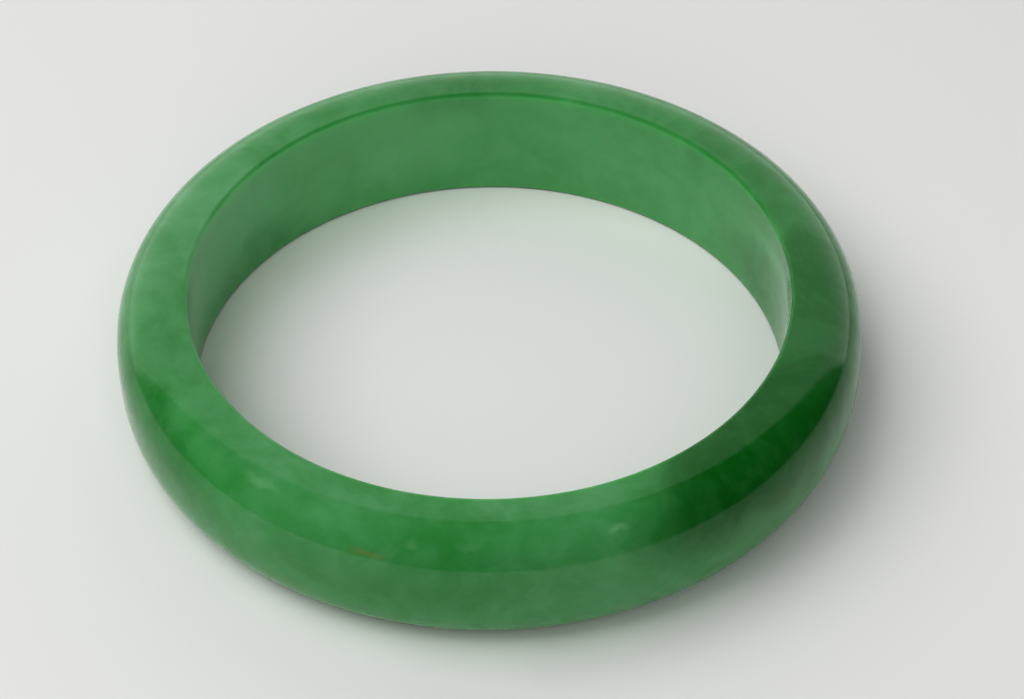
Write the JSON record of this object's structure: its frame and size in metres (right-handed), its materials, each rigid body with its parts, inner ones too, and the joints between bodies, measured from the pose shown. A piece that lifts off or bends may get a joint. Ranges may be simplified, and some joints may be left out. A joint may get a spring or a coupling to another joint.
{
  "type": "bangle bracelet",
  "caption": "Rigid closed bangle bracelet carved from solid green jade, with a straight inner wall, a crowned outside and flat rims to rest on.",
  "frame": {"origin": "centre of the ring on the plane that its lower rim rests on", "axes": "+Z along the ring's axis, upwards from the surface it lies on; X and Y across the wrist opening"},
  "size_m": [0.0698, 0.0698, 0.0122],
  "materials": {
    "jade": "polished translucent jade"
  },
  "bodies": {
    "root": {"jade_ring": "jade"}
  },
  "joints": []
}
